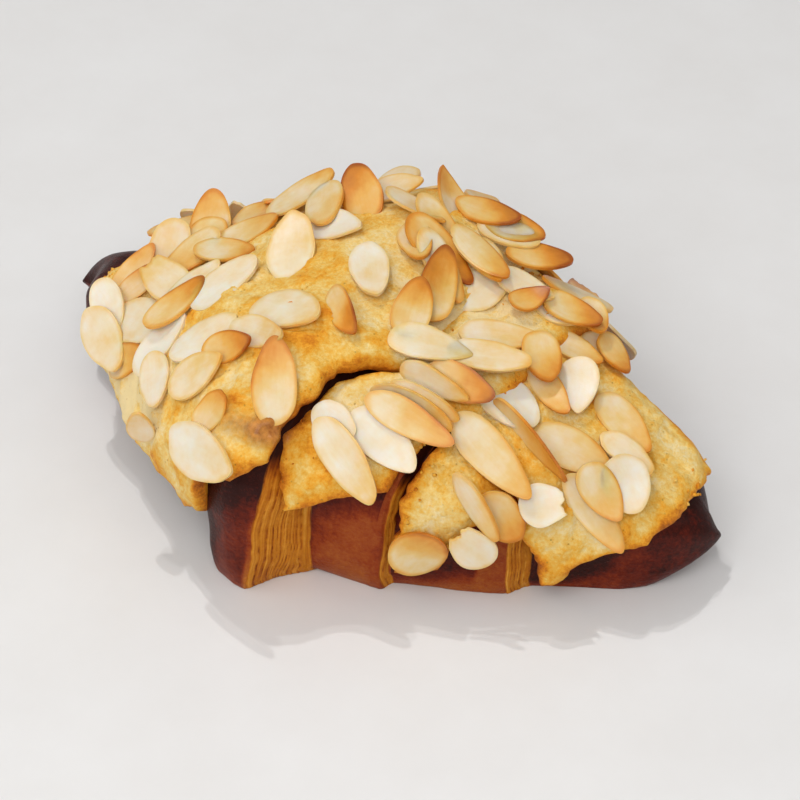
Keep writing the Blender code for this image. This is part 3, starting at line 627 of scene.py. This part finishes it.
def lift_needed(spots, normal, frames, rows):
    """How far a flake must rise to lie on the earlier ones under it, and the one that it must clear."""
    lift, under = 0.0, None
    for other, row in zip(frames, rows):
        local = (spots - other[0]) @ other[1:].T
        over = (local[:, 0] * 2 / row[5]) ** 2 + (local[:, 1] * 2 / row[6]) ** 2 < OVERLAP
        near = over & (np.abs(local[:, 2]) < NEAR)
        facing = float(normal @ other[3])
        if near.any() and facing > LEAST_FACING:
            need = (FLAKE_THICK + FLAKE_GAP - local[near, 2].min()) / facing
            if need > lift:
                lift, under = need, other
    return lift, under


def settle(frames, rows):
    """Lays each flake on the earlier ones under it: lifted, and leant over where it would cut through.

    The lift is limited, so that a few in a thick pile still cross.
    """
    share = np.linspace(-TEST_REACH, TEST_REACH, TEST_SPOTS)
    x, y = np.meshgrid(share, share, indexing="ij")
    inside = x * x + y * y <= TEST_ROUND
    x, y = x[inside], y[inside]
    for k, (here, row) in enumerate(zip(frames, rows)):
        for _ in range(SETTLE_ROUNDS):
            spots = here[0] + np.outer(x * row[5] / 2, here[1]) + np.outer(y * row[6] / 2, here[2])
            lift, under = lift_needed(spots, here[3], frames[:k], rows[:k])
            if lift <= LEAN_OVER:
                break
            normal = here[3] + LEAN_SHARE * under[3]
            here[3] = normal / np.linalg.norm(normal)
            along = here[1] - here[3] * float(here[1] @ here[3])
            here[1] = along / np.linalg.norm(along)
            here[2] = np.cross(here[3], here[1])
        here[0] += here[3] * min(lift, MOST_LIFT)
        reaches = abs(here[1][2]) * row[5] / 2 + abs(here[2][2]) * row[6] / 2
        here[0][2] = min(here[0][2], HIGHEST - reaches)


def flakes_piece(surface):
    """Every flake as one joined mesh, each with its own tone."""
    draw = random.Random(SEED + 1)
    rows = [(row, row[7], BROKEN_FLAKES.get(k, 0.0)) for k, row in enumerate(PLACED_FLAKES)]
    for row in loose_flakes():
        broken = draw.uniform(*LOOSE_BREAKS) if draw.random() < LOOSE_BROKEN else 0.0
        rows.append((row, max(0.0, min(1.0, draw.gauss(0.45, 0.25))), broken))
    frames = [flake_frame(row) for row, _, _ in rows]
    settle(frames, [row for row, _, _ in rows])
    points, faces = [], []
    values = {"edge": [], "along": [], "side": [], "toast": [], "tone": []}
    rings, around = len(FLAKE_RINGS), FLAKE_AROUND
    size = rings * around
    rim = np.arange(around)
    whole = 2 * size + 2 * around
    for (centre, east, north, normal), (row, toast, broken) in zip(frames, rows):
        top, bottom, edge, along, side = slice_points(draw, row[5], row[6], broken)
        local = np.vstack([top.reshape(-1, 3), bottom.reshape(-1, 3), top[-1], bottom[-1]])
        start = whole * len(points)
        points.append(centre + local @ np.array([east, north, normal]))
        faces.append(grid_faces(rings, around, start, closed=True))
        faces.append(grid_faces(rings, around, start + size, flip=True, closed=True))
        wall = start + 2 * size + rim
        after = np.roll(wall, -1)
        faces.append(np.stack([wall, wall + around, after + around, after], axis=-1))
        for key, value in (("edge", edge), ("along", along), ("side", side)):
            values[key].append(np.concatenate([value.ravel(), value.ravel(), value[-1], value[-1]]))
        values["toast"].append(np.full(whole, toast))
        values["tone"].append(np.full(whole, draw.random()))
    attributes = {key: np.concatenate(blocks) for key, blocks in values.items()}
    return mesh_piece("almond_flakes", np.vstack(points), np.vstack(faces), attributes, surface)


# ---------------------------------------------------------------- crumbs

def crumb_spots(draw):
    """Places on the cream for crumbs, most of them on the sheets' rounded edges."""
    spots = []
    while len(spots) < CRUMBS:
        lobe = draw.choice(LOBES)
        degrees = draw.uniform(0.0, 150.0)
        left, right = float(lobe.left(degrees)), float(lobe.right(degrees))
        at_edge = draw.random() < CRUMB_EDGE_SHARE
        inset = draw.uniform(*CRUMB_EDGE) if at_edge else draw.uniform(0.0, RIM_ROUND)
        u = left + inset if draw.random() < 0.5 else right - inset
        if lobe.front(u) + 2.0 < degrees < lobe.back(u):
            rise = math.sqrt(1.0 - (1.0 - inset / RIM_ROUND) ** 2)
            fall = (CREAM_THICK - CREAM_RIM) * (1.0 - rise) / 2
            spots.append((u, degrees, top_level(u, degrees) - fall))
    return spots


def crumbs_piece(surface):
    """Loose and half-stuck crumbs of baked cream, as one joined mesh of small lumps."""
    draw = random.Random(SEED + 2)
    golden = (1 + math.sqrt(5)) / 2
    corners = np.array([(-1, golden, 0), (1, golden, 0), (-1, -golden, 0), (1, -golden, 0), (0, -1, golden),
                        (0, 1, golden), (0, -1, -golden), (0, 1, -golden), (golden, 0, -1), (golden, 0, 1),
                        (-golden, 0, -1), (-golden, 0, 1)]) / math.hypot(1, golden)
    sides = np.array([(a, b, c) for a in range(12) for b in range(a + 1, 12) for c in range(b + 1, 12)
                      if all(np.linalg.norm(corners[i] - corners[j]) < 1.1
                             for i, j in ((a, b), (b, c), (a, c)))])
    first, second, third = (corners[sides[:, k]] for k in range(3))
    turned_in = np.einsum("ij,ij->i", np.cross(second - first, third - first), first) < 0
    sides[turned_in] = sides[turned_in][:, ::-1]
    points, faces, brown = [], [], []
    for k, (u, degrees, level) in enumerate(crumb_spots(draw)):
        base, _, _, out = surface_frame(u, degrees)
        stretch = np.array([[draw.uniform(*CRUMB_STRETCH)] for _ in corners])
        lump = corners * stretch * draw.uniform(*CRUMB_RADII)
        points.append(np.array(base + out * level) + lump)
        faces.append(sides + 12 * k)
        brown.append(np.full(12, draw.uniform(*CRUMB_BROWN)))
    values = np.concatenate(brown)
    attributes = {"brown": values, "knob": np.zeros_like(values)}
    return mesh_piece("crumbs", np.vstack(points), np.vstack(faces), attributes, surface)


# ---------------------------------------------------------------- materials

class Nodes:
    """A Principled material that is built up node by node."""

    def __init__(self, name):
        self.material = bpy.data.materials.new(name)
        self.material.use_nodes = True
        self.tree = self.material.node_tree
        self.shader = self.tree.nodes["Principled BSDF"]
        coordinates = self.tree.nodes.new("ShaderNodeTexCoord")
        self.place = coordinates.outputs["Object"]

    def put(self, socket, value):
        """Links a node's output, or sets a plain value."""
        if isinstance(value, bpy.types.NodeSocket):
            self.tree.links.new(value, socket)
        else:
            socket.default_value = value

    def attribute(self, name):
        """A piece's number for each point, by its attribute's name."""
        node = self.tree.nodes.new("ShaderNodeAttribute")
        node.attribute_name = name
        return node.outputs["Fac"]

    def noise(self, size, detail=2.0, roughness=0.5):
        """Noise between 0 and 1 with features of the given size in millimetres."""
        return self.noise_at(self.place, 1.0 / (size * MM), detail, roughness)

    def noise_at(self, place, scale, detail, roughness):
        """Noise between 0 and 1 along a vector of one's own."""
        node = self.tree.nodes.new("ShaderNodeTexNoise")
        node.inputs["Scale"].default_value = scale
        node.inputs["Detail"].default_value = detail
        node.inputs["Roughness"].default_value = roughness
        self.tree.links.new(place, node.inputs["Vector"])
        return node.outputs["Fac"]

    def vector(self, *parts):
        """A vector from three values."""
        node = self.tree.nodes.new("ShaderNodeCombineXYZ")
        for socket, value in zip(node.inputs, parts):
            self.put(socket, value)
        return node.outputs["Vector"]

    def cells(self, size):
        """Distance to the nearest of scattered points, in units of their spacing."""
        node = self.tree.nodes.new("ShaderNodeTexVoronoi")
        node.inputs["Scale"].default_value = 1.0 / (size * MM)
        self.tree.links.new(self.place, node.inputs["Vector"])
        return node.outputs["Distance"]

    def math(self, operation, a, b):
        """Two values put together by one of Blender's math operations."""
        node = self.tree.nodes.new("ShaderNodeMath")
        node.operation = operation
        self.put(node.inputs[0], a)
        self.put(node.inputs[1], b)
        return node.outputs[0]

    def span(self, value, low, high, to_low=0.0, to_high=1.0):
        """A value mapped from one range to another, smoothly and clamped."""
        node = self.tree.nodes.new("ShaderNodeMapRange")
        node.interpolation_type = "SMOOTHSTEP"
        self.put(node.inputs["Value"], value)
        for key, number in (("From Min", low), ("From Max", high), ("To Min", to_low), ("To Max", to_high)):
            node.inputs[key].default_value = number
        return node.outputs["Result"]

    def ramp(self, value, *stops):
        """Colours by a value, as (position, colour) stops."""
        node = self.tree.nodes.new("ShaderNodeValToRGB")
        points = node.color_ramp.elements
        while len(points) < len(stops):
            points.new(0.5)
        for point, (position, colour) in zip(points, stops):
            point.position = position
            point.color = (*colour, 1.0)
        self.put(node.inputs["Fac"], value)
        return node.outputs["Color"]

    def times(self, a, b):
        return self.math("MULTIPLY", a, b)

    def plus(self, a, b):
        return self.math("ADD", a, b)

    def mix(self, share, first, second):
        """The first colour going over to the second by a share."""
        node = self.tree.nodes.new("ShaderNodeMix")
        node.data_type = "RGBA"
        self.put(node.inputs["Factor"], share)
        for socket, value in ((node.inputs[6], first), (node.inputs[7], second)):
            self.put(socket, value if isinstance(value, bpy.types.NodeSocket) else (*value, 1.0))
        return node.outputs[2]

    def bump(self, height, strength, depth):
        """Surface relief from a height, depth being how many millimetres a height of one stands for."""
        node = self.tree.nodes.new("ShaderNodeBump")
        node.inputs["Strength"].default_value = strength
        node.inputs["Distance"].default_value = depth * MM
        self.put(node.inputs["Height"], height)
        self.tree.links.new(node.outputs["Normal"], self.shader.inputs["Normal"])

    def set(self, **values):
        """Sets the shader's sockets, named with underscores for spaces."""
        for key, value in values.items():
            self.put(self.shader.inputs[key.replace("_", " ")], value)


def crust_material():
    """Shiny dark crust, with honey-coloured layers on the cut faces."""
    made = Nodes("baked_crust")
    # The skin's darkness value carries painted shade under the cream's edge; the shade attribute is painted
    # shade on the cut faces.
    cut, groove, baked_and_shaded = made.attribute("cut"), made.attribute("groove"), made.attribute("bake_and_shade")
    mottled = made.times(made.math("SUBTRACT", made.noise(3.5, 6.0, 0.7), 0.5), 0.55)
    fine = made.noise(0.8, 5.0, 0.7)
    speckled = made.times(made.math("SUBTRACT", fine, 0.5), 0.5)
    bake_and_shade = made.plus(made.plus(baked_and_shaded, mottled), speckled)
    skin = made.ramp(bake_and_shade, (0.05, (0.62, 0.22, 0.03)), (0.28, (0.4, 0.105, 0.014)),
                     (0.42, (0.33, 0.07, 0.012)), (0.56, (0.27, 0.04, 0.006)), (0.7, (0.18, 0.02, 0.004)),
                     (0.84, (0.1, 0.0085, 0.002)), (1.0, (0.03, 0.003, 0.001)))
    unrolled = made.vector(made.attribute("across"), made.attribute("round"), 0.0)
    fibres = made.noise_at(unrolled, 1.6, 5.0, 0.65)
    # Layer colour: painted shade in the grooves between the layers, the layers' own fibrous tone, and the
    # painted shade of the cut faces under the cream.
    depth = made.times(groove, made.span(made.noise(2.4, 3.0), 0.38, 0.62, 0.1, 0.95))
    depth = made.plus(depth, made.times(fibres, 1.9))
    depth = made.plus(depth, made.times(made.noise(2.0, 5.0, 0.7), 0.5))
    depth = made.math("SUBTRACT", depth, 0.74)
    depth = made.plus(depth, made.times(made.attribute("shade"), 1.7))
    layers = made.ramp(made.times(depth, 0.5), (0.08, (0.74, 0.35, 0.05)),
                       (0.2, (0.6, 0.22, 0.015)), (0.38, (0.42, 0.115, 0.006)), (0.62, (0.2, 0.038, 0.002)),
                       (0.95, (0.03, 0.005, 0.002)))
    glints = made.math("SUBTRACT", 1.0, made.span(made.cells(1.7), 0.03, 0.12))
    made.set(Base_Color=made.mix(cut, skin, layers), Roughness=made.span(cut, 0.0, 1.0, 0.4, 0.55))
    coat = made.times(made.span(baked_and_shaded, 0.55, 1.0, 0.03, 0.14), made.math("SUBTRACT", 1.0, cut))
    made.set(Specular_IOR_Level=0.1, Coat_Weight=coat, Coat_Roughness=0.13, Subsurface_Weight=0.08)
    made.set(Subsurface_Radius=(0.003, 0.0009, 0.0004), Subsurface_Scale=0.4)
    wavy = made.times(made.noise(3.0, 3.0), 0.8)
    rough = made.plus(made.times(fine, 1.3), wavy)
    made.bump(made.plus(rough, made.times(glints, 0.9)), 0.6, 0.26)
    return made.material


def cream_material():
    """Crumbly almond cream, pale yellow, golden brown on its edges and lumps, with a glazed brown knob."""
    made = Nodes("almond_cream")
    patches = made.math("SUBTRACT", made.noise(8.0, 6.0, 0.58), 0.5)
    crumbs = made.math("SUBTRACT", made.noise(0.9, 5.0, 0.7), 0.5)
    knob = made.attribute("knob")
    brown = made.plus(made.attribute("brown"), made.times(patches, 1.3))
    brown = made.plus(brown, made.times(crumbs, 0.85))
    colour = made.ramp(brown, (0.0, (0.98, 0.77, 0.39)), (0.18, (0.96, 0.66, 0.2)),
                       (0.34, (0.93, 0.52, 0.08)), (0.5, (0.92, 0.4, 0.027)), (0.7, (0.74, 0.23, 0.01)),
                       (1.0, (0.38, 0.085, 0.005)))
    # Pores: small hollows, painted darker as shade, and dented by the bump.
    spots = made.span(made.noise(4.0, 2.0), 0.45, 0.6)
    pore = made.times(made.math("SUBTRACT", 1.0, made.span(made.cells(1.5), 0.06, 0.2)), spots)
    painted_pore_shade = made.times(pore, 0.6)
    colour = made.mix(painted_pore_shade, colour, (0.5, 0.24, 0.03))
    glazed = made.ramp(made.noise(1.5, 4.0, 0.6), (0.3, (0.3, 0.075, 0.008)), (0.7, (0.72, 0.29, 0.055)))
    colour = made.mix(made.times(knob, 0.95), colour, glazed)
    made.set(Base_Color=colour)
    made.set(Roughness=made.span(knob, 0.3, 0.9, 0.55, 0.3), Coat_Weight=made.span(knob, 0.3, 0.9, 0.0, 0.35))
    made.set(Specular_IOR_Level=0.2)
    crumbly = made.times(made.noise(0.9, 6.0, 0.75), 1.9)
    made.bump(made.plus(crumbly, made.times(pore, -0.6)), 0.75, 0.42)
    return made.material


def flake_material():
    """Blanched almond slices: cream-white and a little see-through, golden where they are toasted."""
    made = Nodes("toasted_almond")
    edge, along, side = made.attribute("edge"), made.attribute("along"), made.attribute("side")
    toast, tone = made.attribute("toast"), made.attribute("tone")
    own = made.vector(along, made.times(side, 3.0), made.times(tone, 90.0))
    streaks = made.math("SUBTRACT", made.noise_at(own, 1.3, 4.0, 0.6), 0.5)
    blotch = made.math("SUBTRACT", made.noise(6.0, 3.0, 0.55), 0.5)
    rim = made.span(edge, 0.8, 1.0)
    end = made.span(made.plus(along, made.times(side, 0.35)), -0.5, 0.9)
    heat = made.times(toast, made.plus(made.times(end, 0.5), 0.3))
    rim_heat = made.plus(made.times(toast, 0.16), 0.12)
    heat = made.plus(heat, made.times(rim, rim_heat))
    heat = made.plus(heat, made.times(streaks, 0.14))
    heat = made.plus(heat, made.times(blotch, 0.55))
    heat = made.plus(heat, made.times(tone, 0.1))
    colour = made.ramp(heat, (0.0, (0.81, 0.74, 0.62)), (0.14, (0.8, 0.65, 0.43)), (0.3, (0.77, 0.53, 0.21)),
                       (0.46, (0.75, 0.41, 0.085)), (0.66, (0.66, 0.25, 0.02)), (1.0, (0.34, 0.08, 0.004)))
    made.set(Base_Color=colour, Roughness=0.36, Subsurface_Weight=0.35, Specular_IOR_Level=0.4)
    made.set(Subsurface_Radius=(0.003, 0.0016, 0.0006), Subsurface_Scale=0.6)
    grainy = made.plus(made.noise(0.7, 3.0, 0.6), made.times(made.noise(3.0, 2.0), 1.5))
    made.bump(grainy, 0.3, 0.1)
    return made.material


# ---------------------------------------------------------------- stage

AZIMUTH = math.radians(31.0)
ELEVATION = math.radians(40.0)
DISTANCE = 0.65
TARGET = Vector((-0.008, 0.0113, 0.0))      # in the design's frame
LENS = 134.55
SENSOR = 36.0


def build_camera():
    """The camera at the photograph's angle."""
    data = bpy.data.cameras.new("camera")
    data.lens, data.sensor_width = LENS, SENSOR
    camera = bpy.data.objects.new("camera", data)
    back = Vector((math.sin(AZIMUTH) * math.cos(ELEVATION), -math.cos(AZIMUTH) * math.cos(ELEVATION),
                   math.sin(ELEVATION)))
    camera.rotation_mode = "QUATERNION"
    camera.rotation_quaternion = back.to_track_quat("Z", "Y")
    camera.location = TARGET + Vector(SHIFT) + back * DISTANCE
    bpy.context.scene.collection.objects.link(camera)
    bpy.context.scene.camera = camera


def area_light(name, azimuth, elevation, distance, size, power):
    """A soft white light aimed at the croissant, its azimuth counted from the camera's."""
    data = bpy.data.lights.new(name, "AREA")
    data.energy, data.size = power, size
    light = bpy.data.objects.new(name, data)
    around, up = AZIMUTH + math.radians(azimuth), math.radians(elevation)
    toward = Vector((math.sin(around) * math.cos(up), -math.cos(around) * math.cos(up), math.sin(up)))
    light.rotation_mode = "QUATERNION"
    light.rotation_quaternion = toward.to_track_quat("Z", "Y")
    light.location = toward * distance
    bpy.context.scene.collection.objects.link(light)


def build_stage():
    """A plain pale floor, two small lamps high behind the croissant, soft ones round it and a pale sky."""
    mesh = bpy.data.meshes.new("floor")
    half = 3.0
    corners = [(-half, -half, 0), (half, -half, 0), (half, half, 0), (-half, half, 0)]
    mesh.from_pydata(corners, [], [(0, 1, 2, 3)])
    floor = bpy.data.objects.new("floor", mesh)
    floor.location.z = -0.0001
    bpy.context.scene.collection.objects.link(floor)
    made = Nodes("floor")
    paper = made.ramp(made.noise(30.0, 6.0, 0.6), (0.3, (0.75, 0.735, 0.72)), (0.7, (0.78, 0.77, 0.76)))
    made.set(Base_Color=paper, Roughness=0.7, Specular_IOR_Level=0.2)
    mesh.materials.append(made.material)
    area_light("key_high", 213.0, 69.0, 2.0, 0.03, 6.6)
    area_light("key_left", 225.0, 71.0, 2.0, 0.03, 3.4)
    for azimuth, power in ((-75.0, 1.8), (-12.0, 5.0), (65.0, 0.8)):
        area_light("fill", azimuth, 46.0, 1.0, 0.7, power)
    world = bpy.data.worlds.new("studio")
    world.use_nodes = True
    tree = world.node_tree
    place = tree.nodes.new("ShaderNodeTexCoord")
    split = tree.nodes.new("ShaderNodeSeparateXYZ")
    sky = tree.nodes.new("ShaderNodeMapRange")
    sky.inputs["From Min"].default_value, sky.inputs["From Max"].default_value = 0.0, 0.9
    sky.inputs["To Min"].default_value, sky.inputs["To Max"].default_value = 0.28, 0.34
    tree.links.new(place.outputs["Generated"], split.inputs["Vector"])
    tree.links.new(split.outputs["Z"], sky.inputs["Value"])
    tree.links.new(sky.outputs["Result"], tree.nodes["Background"].inputs["Strength"])
    tree.nodes["Background"].inputs["Color"].default_value = (1.0, 1.0, 1.0, 1.0)
    bpy.context.scene.world = world
    bpy.context.scene.view_settings.view_transform = "Standard"


# ---------------------------------------------------------------- the scene

def dough_front():
    """The most forward point of the dough in the design's frame."""
    u, a = np.meshgrid(np.linspace(X_LEFT, X_RIGHT, 800), np.linspace(-0.4, 0.6, 90), indexing="ij")
    p = envelope(u, a) + outward(u, a) * wrap_offset(u, a)[..., None]
    return p[..., 1].min()


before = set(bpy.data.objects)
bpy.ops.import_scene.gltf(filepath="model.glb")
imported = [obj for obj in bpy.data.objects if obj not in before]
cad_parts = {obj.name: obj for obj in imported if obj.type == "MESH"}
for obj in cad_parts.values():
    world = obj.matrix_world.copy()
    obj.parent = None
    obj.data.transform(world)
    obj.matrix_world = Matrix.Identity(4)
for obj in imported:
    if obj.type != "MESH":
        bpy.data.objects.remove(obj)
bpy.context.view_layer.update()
DOUGH_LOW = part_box("croissant")[0]
SHIFT = np.array([DOUGH_LOW[0] - X_LEFT * MM, DOUGH_LOW[1] - dough_front() * MM, 0.0])

build_camera()
build_stage()
dough = dough_piece(crust_material())
cream = cream_piece(cream_material())
flakes = flakes_piece(flake_material())
crumbs = crumbs_piece(cream.data.materials[0])
for piece in (dough, cream, flakes, crumbs):
    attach(piece, "root")
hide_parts("croissant")
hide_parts("almond_topping")
